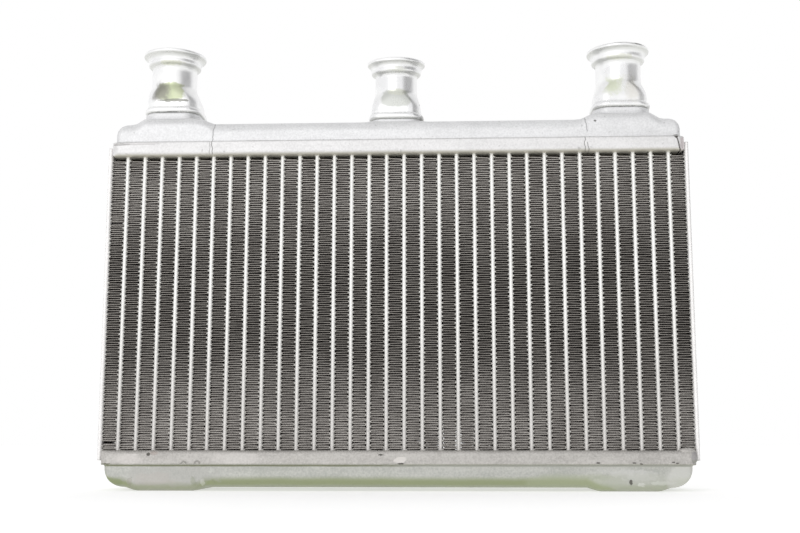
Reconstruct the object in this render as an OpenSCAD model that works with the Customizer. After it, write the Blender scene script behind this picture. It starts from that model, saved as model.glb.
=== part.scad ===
// Brazed aluminium heater core with two zones: 32 flat tubes, 33 folded fin strips,
// two folded header plates, two pressed tanks and three flanged pipe stubs.
// Origin: centre of the footprint, under the two lower boss pads that the core stands on.
// X runs across the tubes, Y through the core from front to back, Z up towards the stubs.

/* [Tubes] */
// Number of flat tubes
tube_count = 32; // [12:2:40]
// Distance from one tube to the next
tube_pitch = 7.15; // [6:0.05:9]
// Thickness of a tube across its flat sides
tube_t = 1.55; // [1.3:0.05:2.2]
// Depth of a tube, nose to nose
tube_depth = 38; // [34:0.5:60]
// Wall of a tube
tube_wall = 0.3; // [0.2:0.05:0.45]
// Length that a tube stands into each tank past the header plate
tube_reach = 2; // [1:0.25:3]

/* [Fins] */
// Height of the fin field between the two headers
core_h = 119.6; // [90:0.1:200]
// Height of one full fold of a fin strip
fold_pitch = 1.84; // [1.6:0.02:4]
// Thickness of the fin foil
fin_t = 0.12; // [0.08:0.01:0.2]
// Distance of the fin edge behind the tube nose
fin_inset = 0.4; // [0:0.1:2]
// Free height between the last fold and the header
fin_end_gap = 0.5; // [0.2:0.1:3]

/* [Headers] */
// Thickness of the header plate
header_t = 1.4; // [1:0.1:2]
// Height of the folded header rim
header_h = 5.7; // [4:0.1:9]
// Outer radius of the header fold
header_fold_r = 1.7; // [1.2:0.1:2.2]
// Radius of the header corners in plan
header_corner_r = 3.4; // [2.5:0.1:5]

/* [Tanks] */
// Wall of the pressed tanks
tank_wall = 1.2; // [0.8:0.1:1.6]
// Height from the header face to the crest of the tank
tank_rise = 14.5; // [12:0.1:24]
// Radius of the tank ends, seen from the front
tank_end_r = 5.4; // [3:0.2:7]
// Radius along the long edges of the tank crest
tank_edge_r = 4.8; // [3:0.2:7]
// Free depth between a tube nose and the inside of the tank
tube_to_tank = 0.35; // [0.2:0.05:2]
// Distance of the middle of a boss pad from the end of the header
boss_end = 25.7; // [22:0.1:36]
// Width of a boss pad where it leaves the tank wall
boss_w = 32.4; // [30:0.2:40]
// Height of a boss pad over the crest
boss_rise = 1.35; // [0.5:0.05:4]
// Radius of the sides of a boss pad
boss_side_r = 3.6; // [3:0.2:7]
// Radius of the front and back edges of a boss pad
boss_edge_r = 2; // [1.5:0.1:2.8]

/* [Zone baffles] */
// Thickness of the baffles in the tanks
baffle_t = 1.2; // [0.8:0.1:1.6]
// Number of tubes in each outer zone
zone_tubes = 5; // [2:1:5]
// Distance of the baffle from the middle of its gap, towards the inner zone
baffle_shift = 1.5; // [0:0.1:1.7]

/* [Pipe stubs] */
// Distance of the outer stubs from the end of the header
stub_end = 23.2; // [21.2:0.1:32]
// Distance of the stubs in front of the middle of the tank
stub_front = 7; // [0:0.5:7.5]
// Wall of a stub
stub_wall = 1.5; // [1:0.1:2]
// Length that a stub stands into the tank under its collar
stub_reach = 2.6; // [2:0.1:4]
// Outer radius of the neck of an outer stub
outer_neck_r = 9.4; // [8:0.1:9.6]
// Outer radius of the lip of an outer stub
outer_lip_r = 13; // [12.2:0.1:15]
// Length of an outer stub from its collar to its mouth
outer_length = 28; // [26:0.1:45]
// Height of the drawn collar under an outer stub
outer_collar_h = 3.5; // [1:0.1:5]
// Outer radius of the neck of the middle stub
middle_neck_r = 8.8; // [7.5:0.1:9.4]
// Outer radius of the lip of the middle stub
middle_lip_r = 12; // [11.4:0.1:15]
// Length of the middle stub from its collar to its mouth
middle_length = 27.1; // [25:0.1:45]
// Height of the drawn collar under the middle stub
middle_collar_h = 1.2; // [0.6:0.1:4]
// Radius of the cove where a collar leaves the tank
collar_cove = 2; // [0.4:0.1:2.2]
// Height of the hem bead round the foot of a stub
bead_h = 3; // [1.6:0.1:4]
// Height of the flare between the hem bead and the round neck
flare_h = 10; // [7:0.25:12]
// Height of the upright part at the foot of the flare
foot_h = 2; // [1:0.1:3]
// Radius of the round ring under the lip
ring_r = 1.5; // [1:0.1:2]
// Distance of the ring under the lip
ring_drop = 3.6; // [3.2:0.1:5]
// Distance that the ring stands out from the neck
ring_out = 1.7; // [0.8:0.1:2]
// Radius of the rolled edge of the lip
lip_roll_r = 0.9; // [0.6:0.05:1.2]

/* [Side plates] */
// Thickness of the side plates
plate_t = 0.8; // [0.6:0.05:1.2]
// Width of the side plate flanges, web included
plate_flange = 1.6; // [1.4:0.1:5]
// Outer radius of the side plate folds
plate_fold_r = 1; // [0.9:0.05:1.3]
// Length that a side plate laps over each header
plate_lap = 4; // [2:0.25:5]

/* [Fits] */
// Gap left for the braze between nested parts
braze_gap = 0.05; // [0.02:0.01:0.1]

/* [Hidden] */
$fn = 64;
cut = 1;
fins_per_set = 3;

// Widths across the core
fin_w = tube_pitch - tube_t;
tube_row = (tube_count - 1) * tube_pitch;
core_half = tube_row / 2 + tube_t / 2 + fin_w;
header_half = core_half;
tank_half = header_half - header_t - braze_gap;

// Depths through the core
tank_half_d = tube_depth / 2 + tube_to_tank + tank_wall;
header_half_d = tank_half_d + braze_gap + header_t;
tank_corner_r = header_corner_r - header_t - braze_gap;

// Places along the tanks
boss_x = header_half - boss_end;
stub_x = header_half - stub_end;

// Heights
boss_top = tank_rise + boss_rise;
bottom_face_z = boss_top;
top_face_z = bottom_face_z + core_h;

// Fold of the fins
fold_count = floor((core_h - 2 * fin_end_gap) / fold_pitch);
leg_count = 2 * fold_count;
leg_step = fold_pitch / 2;
fold_inside = fin_w / 2 - fin_t;
leg_upright_t = fin_t * norm([1, (leg_step - fin_t) / (2 * fold_inside)]);
leg_slope = (leg_step - leg_upright_t) / (2 * fold_inside);
fin_z0 = (core_h - fold_count * fold_pitch) / 2;
fin_depth = tube_depth - 2 * fin_inset;
set_count = ceil((tube_count + 1) / fins_per_set);

// Foot of a stub, as amounts over its neck radius
foot_side = 1.6;
foot_front = 0.9;
foot_corner = 3.1;
bead_out = 1.1;
collar_back = 0.2;
facet_lead = 0.25;
mouth_edge = 2;
mouth_depth = 2.4;

// Zone baffle place
baffle_x = tube_row / 2 - (zone_tubes - 0.5) * tube_pitch - baffle_shift;

function two_digits(i) = str(i < 10 ? "0" : "", i);
function tube_name(i) = str("tube_", two_digits(i));
function set_name(i) = str("fin_set_", two_digits(i));

BODY_NODES = ["top_tank", "bottom_tank", "top_header", "bottom_header",
    "left_side_plate", "right_side_plate", "left_stub", "middle_stub", "right_stub",
    "top_left_baffle", "top_right_baffle", "bottom_baffle"];

// A flat profile laid through the part from front to back
module through_y(depth) {
    rotate([90, 0, 0]) linear_extrude(depth, center = true) children();
}

// A flat profile laid across the part from left to right
module across_x(width) {
    rotate([90, 0, 90]) linear_extrude(width, center = true) children();
}

// Upright profile with its two upper corners rounded
module crowned(half, low, high, r) {
    translate([-half, low]) square([2 * half, high - r - low]);
    translate([r - half, low]) square([2 * (half - r), high - low]);
    for (side = [-1, 1]) translate([side * (half - r), high - r]) circle(r);
}

// Plan profile with four rounded corners
module rounded_plan(half_x, half_y, r) {
    square([2 * half_x, 2 * (half_y - r)], center = true);
    square([2 * (half_x - r), 2 * half_y], center = true);
    for (x = [-1, 1]) for (y = [-1, 1]) {
        translate([x * (half_x - r), y * (half_y - r)]) circle(r);
    }
}

// Places a piece drawn on a header face at the top or the bottom of the core
module at_top() {
    translate([0, 0, top_face_z]) children();
}
module at_bottom() {
    translate([0, 0, bottom_face_z]) mirror([0, 0, 1]) children();
}

// Flat tube outline: straight sides and round noses
module tube_outline(t, depth) {
    square([t, depth - t], center = true);
    for (end = [-1, 1]) translate([0, end * (depth - t) / 2]) circle(t / 2);
}

// Two chambers of a flat tube, one each side of its folded web
module tube_chambers() {
    inner_t = tube_t - 2 * tube_wall;
    nose_y = (tube_depth - tube_t) / 2;
    for (end = [-1, 1]) {
        translate([0, end * nose_y]) circle(inner_t / 2);
        translate([-inner_t / 2, end > 0 ? tube_wall : -nose_y]) square([inner_t, nose_y - tube_wall]);
    }
}

module tube(i) {
    color("gainsboro") translate([(i - 1) * tube_pitch - tube_row / 2, 0, bottom_face_z - header_t - tube_reach])
        linear_extrude(core_h + 2 * (header_t + tube_reach)) difference() {
            tube_outline(tube_t, tube_depth);
            tube_chambers();
        }
}

// Height of the upper (edge 1) or lower (edge -1) edge of leg k, run is measured the way it climbs
function edge_z(k, edge, run) = leg_slope * run
    + (edge > 0 ? (k + 1) * leg_step - leg_slope * fold_inside : k * leg_step + leg_slope * fold_inside);

// One side of the ribbon, left (hand 1) or right (hand -1) of its run up the folds.
// It changes between the upper and the lower edge from leg to leg. Round the outside of a fold
// it has a flat on the brazed face, and the inside of a fold is one corner shared by two legs.
function ribbon_side(hand) = [for (k = [0:leg_count - 1], end = [-1, 1])
    let (way = k % 2 == 0 ? 1 : -1,
        edge = hand * way,
        inside = edge == end,
        run = end * (inside ? fold_inside : fin_w / 2))
    if (end > 0 || !inside || k == 0) [way * run, edge_z(k, edge, run)]];

// Folded fin ribbon, seen from the front
module fin_ribbon() {
    left = ribbon_side(1);
    right = ribbon_side(-1);
    polygon(concat(right, [for (i = [len(left) - 1:-1:0]) left[i]]));
}

module fin_strip(i) {
    translate([(i - 1) * tube_pitch - tube_row / 2 - tube_pitch / 2, 0, bottom_face_z + fin_z0])
        through_y(fin_depth) fin_ribbon();
}

module fin_set(i) {
    first = (i - 1) * fins_per_set + 1;
    color("dimgray") for (k = [first:min(first + fins_per_set - 1, tube_count + 1)]) fin_strip(k);
}

// Header: a tray folded up on four sides, with one slot for each tube
module header() {
    difference() {
        intersection() {
            translate([0, 0, header_h]) mirror([0, 0, 1])
                through_y(2 * header_half_d) crowned(header_half, 0, header_h, header_fold_r);
            translate([0, 0, header_h]) mirror([0, 0, 1])
                across_x(2 * header_half) crowned(header_half_d, 0, header_h, header_fold_r);
            linear_extrude(header_h) rounded_plan(header_half, header_half_d, header_corner_r);
        }
        translate([0, 0, header_t]) linear_extrude(header_h)
            rounded_plan(header_half - header_t, header_half_d - header_t, header_corner_r - header_t);
        for (i = [1:tube_count]) translate([(i - 1) * tube_pitch - tube_row / 2, 0, -cut])
            linear_extrude(header_t + 2 * cut) tube_outline(tube_t + 2 * braze_gap, tube_depth + 2 * braze_gap);
    }
}

// Pressed tank form, drawn smaller by inset for its hollow
module tank_form(inset, low) {
    intersection() {
        through_y(2 * tank_half_d) crowned(tank_half - inset, low, tank_rise - inset, tank_end_r - inset);
        across_x(2 * tank_half) crowned(tank_half_d - inset, low, tank_rise - inset, tank_edge_r - inset);
        translate([0, 0, low]) linear_extrude(boss_top)
            rounded_plan(tank_half - inset, tank_half_d - inset, max(tank_corner_r - inset, 0.4));
    }
    for (side = [-1, 1]) translate([side * boss_x, 0, 0]) intersection() {
        through_y(2 * tank_half_d) crowned(boss_w / 2 - inset, low, boss_top - inset, boss_side_r - inset);
        across_x(boss_w) crowned(tank_half_d - inset, low, boss_top - inset, boss_edge_r - min(inset, boss_edge_r - 0.3));
    }
}

module tank_hollow() {
    tank_form(tank_wall, header_t - cut);
}

// Upright profile that lands with a cove on the sides named
module coved(half, low, high, r, sides = [-1, 1]) {
    translate([-half, low]) square([2 * half, high - low]);
    for (side = sides) difference() {
        translate([side > 0 ? 0 : -half - r, low]) square([half + r, r - low]);
        translate([side * (half + r), r]) circle(r);
    }
}

// Collar drawn up from the tank: the stub's foot outline, with a cove on three sides.
// Its front stands flush on the tank, and it runs sink deep into what lies under its seat.
module collar(x, seat, neck_r, height, sink) {
    side = neck_r + foot_side + bead_out - collar_back;
    front = neck_r + foot_front + bead_out - collar_back;
    corner = neck_r + foot_corner + bead_out - collar_back;
    r = min(collar_cove, height);
    reach = 2 * (corner + r);
    translate([x, -stub_front, seat]) intersection() {
        rotate_extrude() intersection() {
            coved(corner, -sink, height, r);
            translate([0, -sink]) square([reach, sink + height]);
        }
        through_y(reach) coved(side, -sink, height, r);
        across_x(reach) coved(front, -sink, height, r, [1]);
    }
}

module stub_hole(x, neck_r) {
    translate([x, -stub_front, header_t + tube_reach]) cylinder(tank_rise + boss_top, r = neck_r + braze_gap);
}

module top_tank() {
    color("whitesmoke") at_top() difference() {
        union() {
            tank_form(0, header_t);
            for (side = [-1, 1]) collar(side * stub_x, boss_top, outer_neck_r, outer_collar_h, boss_rise);
            collar(0, tank_rise, middle_neck_r, middle_collar_h, tank_wall / 2);
        }
        tank_hollow();
        for (side = [-1, 1]) stub_hole(side * stub_x, outer_neck_r);
        stub_hole(0, middle_neck_r);
    }
}

module bottom_tank() {
    color("lightgray") at_bottom() difference() {
        tank_form(0, header_t);
        tank_hollow();
    }
}

module top_header() {
    color("gainsboro") at_top() header();
}

module bottom_header() {
    color("lightgray") at_bottom() header();
}

// Side plate: a shallow channel with its web on the outer fin strip
module side_plate(side) {
    length = core_h + 2 * plate_lap;
    half = tube_depth / 2;
    color("gainsboro") translate([side * core_half, 0, bottom_face_z - plate_lap])
        linear_extrude(length) rotate(side > 0 ? 90 : -90) translate([0, -plate_flange]) difference() {
            crowned(half, -cut, plate_flange, plate_fold_r);
            crowned(half - plate_t, -2 * cut, plate_flange - plate_t, plate_fold_r - plate_t);
            translate([-half - cut, -2 * cut]) square([2 * (half + cut), 2 * cut]);
        }
}

// Half section of a stub: spigot, flared foot, neck, ring and lip
module stub_section(neck_r, lip_r, length) {
    foot_z = bead_h + foot_h;
    neck_z = bead_h + flare_h;
    lip_z = length - lip_roll_r;
    ring_z = lip_z - ring_drop;
    bore_r = neck_r - stub_wall;
    difference() {
        union() {
            translate([0, -cut]) square([neck_r, length + cut]);
            polygon([[0, 0], [neck_r + foot_corner, 0], [neck_r + foot_corner, foot_z],
                [neck_r, neck_z], [0, neck_z]]);
            translate([neck_r + ring_out - ring_r, ring_z]) circle(ring_r);
            polygon([[0, ring_z], [neck_r + ring_out, ring_z], [lip_r - lip_roll_r, lip_z - lip_roll_r],
                [lip_r - lip_roll_r, length], [0, length]]);
            translate([lip_r - lip_roll_r, lip_z]) circle(lip_roll_r);
        }
        polygon([[0, length + cut], [0, length - mouth_depth], [bore_r, length - mouth_depth],
            [lip_r - mouth_edge, length], [lip_r - mouth_edge, length + cut]]);
    }
}

// Upright profile that cuts the round flare flat, wide again above the neck
module facet_profile(neck_r, lip_r, out, length) {
    foot_z = bead_h + foot_h;
    neck_z = bead_h + flare_h;
    wide = lip_r + cut;
    for (side = [0, 1]) mirror([side, 0])
        polygon([[0, -cut], [neck_r + out, -cut], [neck_r + out, foot_z],
            [neck_r + facet_lead, neck_z], [wide, neck_z], [wide, length + cut], [0, length + cut]]);
}

// Hem bead with a half round edge on its four sides and corners
module hem_bead(neck_r) {
    r = bead_h / 2;
    corner = neck_r + foot_corner + bead_out;
    front = neck_r + foot_front + bead_out;
    side = neck_r + foot_side + bead_out;
    intersection() {
        rotate_extrude() {
            square([corner - r, bead_h]);
            translate([corner - r, r]) circle(r);
        }
        through_y(2 * corner) bead_profile(side, r);
        across_x(2 * corner) bead_profile(front, r);
    }
}

module bead_profile(half, r) {
    translate([r - half, 0]) square([2 * (half - r), 2 * r]);
    for (end = [-1, 1]) translate([end * (half - r), r]) circle(r);
}

module stub(neck_r, lip_r, length, collar_h) {
    spigot = collar_h + stub_reach;
    color("white") difference() {
        union() {
            intersection() {
                rotate_extrude() stub_section(neck_r, lip_r, length);
                through_y(2 * (lip_r + cut)) facet_profile(neck_r, lip_r, foot_side, length);
                across_x(2 * (lip_r + cut)) facet_profile(neck_r, lip_r, foot_front, length);
            }
            hem_bead(neck_r);
            translate([0, 0, -spigot]) cylinder(spigot + bead_h / 2, r = neck_r);
        }
        translate([0, 0, -spigot - cut]) cylinder(spigot + length + 2 * cut, r = neck_r - stub_wall);
    }
}

module outer_stub(side) {
    translate([side * stub_x, -stub_front, top_face_z + boss_top + outer_collar_h])
        stub(outer_neck_r, outer_lip_r, outer_length, outer_collar_h);
}

module middle_stub() {
    translate([0, -stub_front, top_face_z + tank_rise + middle_collar_h])
        stub(middle_neck_r, middle_lip_r, middle_length, middle_collar_h);
}

// Zone baffle: a plate cut to the hollow of the tank, standing on the header plate
module baffle(x) {
    color("silver") intersection() {
        tank_form(tank_wall + braze_gap, header_t);
        translate([x - baffle_t / 2, -tank_half_d, 0]) cube([baffle_t, 2 * tank_half_d, boss_top]);
    }
}

top_tank();
bottom_tank();
top_header();
bottom_header();
side_plate(-1);  // left_side_plate
side_plate(1);  // right_side_plate
outer_stub(-1);  // left_stub
middle_stub();
outer_stub(1);  // right_stub
at_top() baffle(-baffle_x);  // top_left_baffle
at_top() baffle(baffle_x);  // top_right_baffle
at_bottom() baffle(0);  // bottom_baffle
for (i = [1:tube_count]) tube(i);
for (i = [1:set_count]) fin_set(i);
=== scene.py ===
import math

import bpy
import numpy as np
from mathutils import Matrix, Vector


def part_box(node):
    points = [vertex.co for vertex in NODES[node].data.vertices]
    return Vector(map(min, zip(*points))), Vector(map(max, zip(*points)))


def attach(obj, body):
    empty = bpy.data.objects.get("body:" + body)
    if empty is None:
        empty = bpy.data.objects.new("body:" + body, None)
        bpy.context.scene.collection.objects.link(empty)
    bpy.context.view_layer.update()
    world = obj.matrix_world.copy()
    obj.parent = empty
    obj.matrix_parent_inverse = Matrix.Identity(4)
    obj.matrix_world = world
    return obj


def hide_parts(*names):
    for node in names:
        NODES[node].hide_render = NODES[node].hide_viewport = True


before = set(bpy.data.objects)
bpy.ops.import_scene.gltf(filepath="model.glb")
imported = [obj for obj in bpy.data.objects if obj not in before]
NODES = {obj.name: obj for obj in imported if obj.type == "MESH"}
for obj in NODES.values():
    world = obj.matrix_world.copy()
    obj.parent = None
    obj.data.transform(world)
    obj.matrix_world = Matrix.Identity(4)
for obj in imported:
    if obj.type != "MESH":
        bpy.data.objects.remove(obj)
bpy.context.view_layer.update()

# Looks of the brazed heater core: finishes, louvred fin strips, braze, wear, camera and light.
# Lengths are metres. X runs across the tubes, Y from front to back, Z up to the pipe stubs.

MM = 0.001
TUBES = sorted(name for name in NODES if name.startswith("tube_"))
FIN_SETS = sorted(name for name in NODES if name.startswith("fin_set_"))
STUBS = ("left_stub", "middle_stub", "right_stub")
RANDOM = np.random.default_rng(11)

# Photograph's view
IMAGE_WIDTH = 800
FOCAL_PIXELS = 1153
SENSOR = 36
CAMERA_PLACE = (0.02295, -0.47830, 0.01851)
CAMERA_PITCH = math.radians(8.723)
CAMERA_YAW = math.radians(-2.622)

# Studio light: a room that is white at eye level and darker overhead, with one grey wall
WHITE = (1.0, 1.0, 1.0, 1.0)
ROOM_LIGHT = 1.0
CEILING_LIGHT = 0.82
WALL_SHARE = 0.38
WALL_DIRECTION = (0.96, -0.28, 0.0)
WALL_EDGE = (0.74, 0.92)
WALL_FADE = 0.05
FLOOR_GLOW = 0.48
FLOOR_REACH = 6.0
KEY_PLACE = (-0.45, -1.3, 0.35)
KEY_AIM = (0, 0, 0.08)
KEY_SIZE = 0.8
KEY_POWER = 2.6

# Fin strips
FOLD_PITCH = 1.84 * MM
FOIL = 0.12 * MM
FOLD_FLAT = 0.74 * MM
STRIP_DROP = 1.2 * MM
# Unevenness of the rolled foil: drift from fold to fold, each fold's own error and the bow of each leg
FOLD_DRIFT = 0.025 * MM
FOLD_ERROR = 0.03 * MM
LEG_BOW = 0.03 * MM
# Points along a leg as shares of the way across, and how much of the louvres' lift each takes
LEG_SHARES = np.array([0.0, 0.12, 0.88, 1.0])
LEG_LIFTS = np.array([0.0, 1.0, 1.0, 0.0])
# Bends of the louvres, from the strip's front edge inward, and which way each lifts
LOUVRE_LIFT = 0.45 * MM
LOUVRE_DEPTHS = np.array([0.0, 0.80, 0.86, 2.10, 2.16]) * MM
LOUVRE_TURNS = np.array([0.0, 0.0, 1.0, -1.0, 1.0]) * LOUVRE_LIFT
# Half sizes of a bead of braze at a fold
BRAZE_BEAD = np.array([0.6, 0.5, 0.42]) * MM
BEAD_INSET = 0.05 * MM
BEAD_SCATTER = 0.05 * MM

# Folds that are pulled open, by strip: height, opening and how far it spreads
PULLED_FOLDS = {
    1: ((18.4 * MM, 0.9 * MM, 3 * MM), (98.9 * MM, 0.45 * MM, 2 * MM), (108.1 * MM, 0.6 * MM, 2 * MM)),
}


class Nodes:
    """Short calls for the nodes of one material or world."""

    def __init__(self, tree):
        self.tree = tree

    def feed(self, socket, value):
        if isinstance(value, bpy.types.NodeSocket):
            self.tree.links.new(value, socket)
        else:
            socket.default_value = value

    def node(self, kind, inputs=None, **settings):
        made = self.tree.nodes.new(kind)
        for key, value in settings.items():
            setattr(made, key, value)
        for key, value in (inputs or {}).items():
            self.feed(made.inputs[key], value)
        return made

    def math(self, operation, a, b=0.0, c=0.0):
        return self.node("ShaderNodeMath", {0: a, 1: b, 2: c}, operation=operation).outputs[0]

    def axis(self, vector, letter):
        return self.node("ShaderNodeSeparateXYZ", {0: vector}).outputs[letter]

    def ramp(self, value, start, end, low=0.0, high=1.0):
        """Value mapped from start..end to low..high, smooth at both ends."""
        inputs = {"Value": value, "From Min": start, "From Max": end, "To Min": low, "To Max": high}
        made = self.node("ShaderNodeMapRange", inputs, interpolation_type="SMOOTHSTEP")
        return made.outputs["Result"]

    def mix(self, factor, first, second):
        made = self.node("ShaderNodeMix", data_type="RGBA")
        for index, value in ((0, factor), (6, first), (7, second)):
            self.feed(made.inputs[index], value)
        return made.outputs[2]


class Finish(Nodes):
    """A material with a Principled shader."""

    def __init__(self, name, metallic, roughness):
        self.material = bpy.data.materials.new(name)
        self.material.use_nodes = True
        super().__init__(self.material.node_tree)
        self.shader = self.tree.nodes["Principled BSDF"]
        self.shader.inputs["Metallic"].default_value = metallic
        self.shader.inputs["Roughness"].default_value = roughness
        self.place = self.node("ShaderNodeTexCoord").outputs["Object"]

    def noise(self, size, detail=3.0, roughness=0.5, stretch=(1.0, 1.0, 1.0)):
        """Noise whose grains are about size metres across."""
        place = self.node("ShaderNodeMapping", {"Vector": self.place, "Scale": stretch}).outputs[0]
        inputs = {"Vector": place, "Scale": 0.5 / size, "Detail": detail, "Roughness": roughness}
        return self.node("ShaderNodeTexNoise", inputs).outputs[0]

    def unevenness(self, size, reach):
        """Noise about zero that takes up a part of reach."""
        return self.math("MULTIPLY", self.math("SUBTRACT", self.noise(size), 0.5), reach)

    def front(self):
        """One on the front side of the object, zero at its back."""
        return self.ramp(self.axis(self.place, "Y"), -5 * MM, -10 * MM)

    def blot(self, middle, size, ragged=0.7):
        """A ragged oval mark: middle and half sizes in millimetres along X, Y and Z."""
        scale = [1 / (MM * half) for half in size]
        shift = [-c / half for c, half in zip(middle, size)]
        spot = self.node("ShaderNodeMapping", {"Vector": self.place, "Scale": scale, "Location": shift})
        away = self.node("ShaderNodeVectorMath", {0: spot.outputs[0]}, operation="LENGTH").outputs["Value"]
        rough = self.unevenness(0.8 * MM * min(size), 2 * ragged)
        return self.ramp(self.math("ADD", away, rough), 1.15, 0.75)

    def hook(self, x, z, radius, width=0.3):
        """An arch-shaped scratch on the front over a middle given in millimetres."""
        across = self.math("SUBTRACT", self.axis(self.place, "X"), x * MM)
        height = self.math("SUBTRACT", self.axis(self.place, "Z"), z * MM)
        squares = self.math("MULTIPLY_ADD", across, across, self.math("MULTIPLY", height, height))
        rough = self.unevenness(0.9 * MM, 2.6 * radius * MM)
        away = self.math("SUBTRACT", self.math("SQRT", squares), radius * MM)
        away = self.math("ABSOLUTE", self.math("ADD", away, rough))
        line = self.ramp(away, 1.4 * width * MM, 0.5 * width * MM)
        above = self.ramp(height, -0.2 * radius * MM, 0.2 * radius * MM)
        return self.math("MULTIPLY", self.math("MULTIPLY", line, above), self.front())

    def facet(self, x, z, half_x, half_z, ragged=0.2, soft=0.12):
        """A ragged patch with round corners on the flat front of a stub's foot, in millimetres."""
        normal = self.node("ShaderNodeNewGeometry").outputs["Normal"]
        flat = self.ramp(self.axis(normal, "Y"), -0.70, -0.80)
        away = 0.0
        for letter, middle, half in (("X", x, half_x), ("Z", z, half_z)):
            offset = self.math("SUBTRACT", self.axis(self.place, letter), middle * MM)
            share = self.math("DIVIDE", self.math("ABSOLUTE", offset), half * MM)
            away = self.math("ADD", away, self.math("POWER", share, 3.0))
        away = self.math("POWER", away, 1 / 3)
        rough = self.unevenness(0.8 * MM, 2 * ragged)
        return self.math("MULTIPLY", flat, self.ramp(self.math("ADD", away, rough), 1 + soft, 1 - soft))

    def crack(self, x, low, high, lean=0.0, wobble=0.8, width=0.11):
        """A fine wavy upright line on the front between two heights, in millimetres."""
        height = self.axis(self.place, "Z")
        along = self.node("ShaderNodeCombineXYZ", {"X": x, "Z": height}).outputs[0]
        waves = self.node("ShaderNodeTexNoise", {"Vector": along, "Scale": 0.32 / MM, "Detail": 2.0})
        line = self.math("MULTIPLY_ADD", waves.outputs[0], 2 * wobble * MM, (x - wobble) * MM)
        line = self.math("MULTIPLY_ADD", self.math("SUBTRACT", height, low * MM), lean, line)
        away = self.math("ABSOLUTE", self.math("SUBTRACT", self.axis(self.place, "X"), line))
        mask = self.ramp(away, 1.6 * width * MM, 0.5 * width * MM)
        mask = self.math("MULTIPLY", mask, self.ramp(height, (low - 0.4) * MM, low * MM))
        mask = self.math("MULTIPLY", mask, self.ramp(height, (high + 0.4) * MM, high * MM))
        return self.math("MULTIPLY", mask, self.front())

    def bump(self, height, distance, strength=1.0, normal=None):
        inputs = {"Height": height, "Distance": distance, "Strength": strength}
        if normal is not None:
            inputs["Normal"] = normal
        return self.node("ShaderNodeBump", inputs).outputs[0]

    def colour(self, value):
        self.feed(self.shader.inputs["Base Color"], value)

    def normal(self, value):
        self.feed(self.shader.inputs["Normal"], value)

    def roughness(self, value):
        self.feed(self.shader.inputs["Roughness"], value)


def rgb(red, green, blue):
    """Linear colour from display values of 0 to 255."""
    return tuple(((v / 255 + 0.055) / 1.055) ** 2.4 if v > 10 else v / 255 / 12.92
                 for v in (red, green, blue)) + (1.0,)


def add_marks(finish, colour, marks):
    """The colour with every mark painted over it, and the depth of all marks."""
    depth = 0.0
    for kind, place, tint, strength, relief in marks:
        mask = getattr(finish, kind)(*place)
        colour = finish.mix(finish.math("MULTIPLY", mask, strength), colour, rgb(*tint))
        depth = finish.math("MULTIPLY_ADD", mask, relief, depth)
    return colour, depth


def painted_underside_share(finish, soft, patches, band):
    """Share of the painted reflection and shade on downward faces; band says where it starts, where it is
    full and what is left below.
    """
    down = finish.math("ADD", finish.axis(soft, "Z"), finish.math("MULTIPLY", patches, 0.2))
    start, full, left = band
    return finish.math("MULTIPLY", finish.ramp(down, start + 0.1, full + 0.1, 0.0, 0.9),
                       finish.ramp(down, -0.85, -0.55, left, 1.0))


def sandy_metal(name, light, dark, under, roughness=0.5, marks=(), foot=None, band=(-0.06, -0.36, 0.35)):
    """Aluminium with the sandy skin of brazing flux, stained in soft patches, with painted reflection and
    shade on its downward faces.
    """
    finish = Finish(name, 0.55, roughness)
    grain = finish.noise(0.35 * MM, 2.0, 0.6)
    patches = finish.noise(9 * MM, 4.0, 0.55)
    specks = finish.noise(0.8 * MM, 1.0, 0.4)
    streaks = finish.noise(1.6 * MM, 3.0, 0.6, (0.12, 1.0, 1.0))
    shade = finish.math("ADD", finish.math("MULTIPLY", grain, 0.5), finish.math("MULTIPLY", patches, 0.45))
    shade = finish.math("MULTIPLY_ADD", streaks, 0.3, shade)
    colour = finish.mix(finish.ramp(shade, 0.45, 0.80), dark, light)
    # Painted shade: the colour darkens towards the foot of the core.
    if foot:
        height = finish.axis(finish.place, "Z")
        colour = finish.mix(finish.ramp(height, 85 * MM, 15 * MM, 0.0, 0.85), colour, foot)
    soft = finish.node("ShaderNodeBevel", {"Radius": 0.9 * MM}, samples=4).outputs[0]
    # Painted greenish reflection and shade on the faces that turn downward.
    colour = finish.mix(painted_underside_share(finish, soft, patches, band), colour, under)
    colour = finish.mix(finish.ramp(specks, 0.72, 0.80, 0.0, 0.3), colour, rgb(130, 128, 124))
    colour, depth = add_marks(finish, colour, marks)
    finish.colour(colour)
    finish.roughness(finish.ramp(patches, 0.3, 0.7, roughness - 0.06, roughness + 0.08))
    coarse = finish.bump(patches, 0.25 * MM, 0.25, soft)
    fine = finish.bump(grain, 0.04 * MM, 0.4, coarse)
    finish.normal(finish.bump(depth, 0.3 * MM, 1.0, fine) if marks else fine)
    return finish.material


def drawn_metal(name, light, dark, under, marks):
    """Bright aluminium of the pipe stubs, dull in patches, with painted reflection and shade on its downward
    faces.
    """
    finish = Finish(name, 0.85, 0.3)
    patches = finish.noise(5 * MM, 3.0, 0.5)
    grain = finish.noise(0.4 * MM, 2.0, 0.6)
    colour = finish.mix(finish.ramp(patches, 0.35, 0.65), dark, light)
    down = finish.axis(finish.node("ShaderNodeNewGeometry").outputs["Normal"], "Z")
    # Painted reflection and shade on the faces that turn downward.
    colour = finish.mix(finish.ramp(down, -0.1, -0.8, 0.0, 0.8), colour, under)
    colour, depth = add_marks(finish, colour, marks)
    finish.colour(colour)
    finish.roughness(finish.ramp(patches, 0.3, 0.7, 0.24, 0.38))
    coarse = finish.bump(patches, 0.08 * MM, 0.3)
    finish.normal(finish.bump(depth, 0.3 * MM, 1.0, finish.bump(grain, 0.01 * MM, 0.3, coarse)))
    return finish.material


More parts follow.
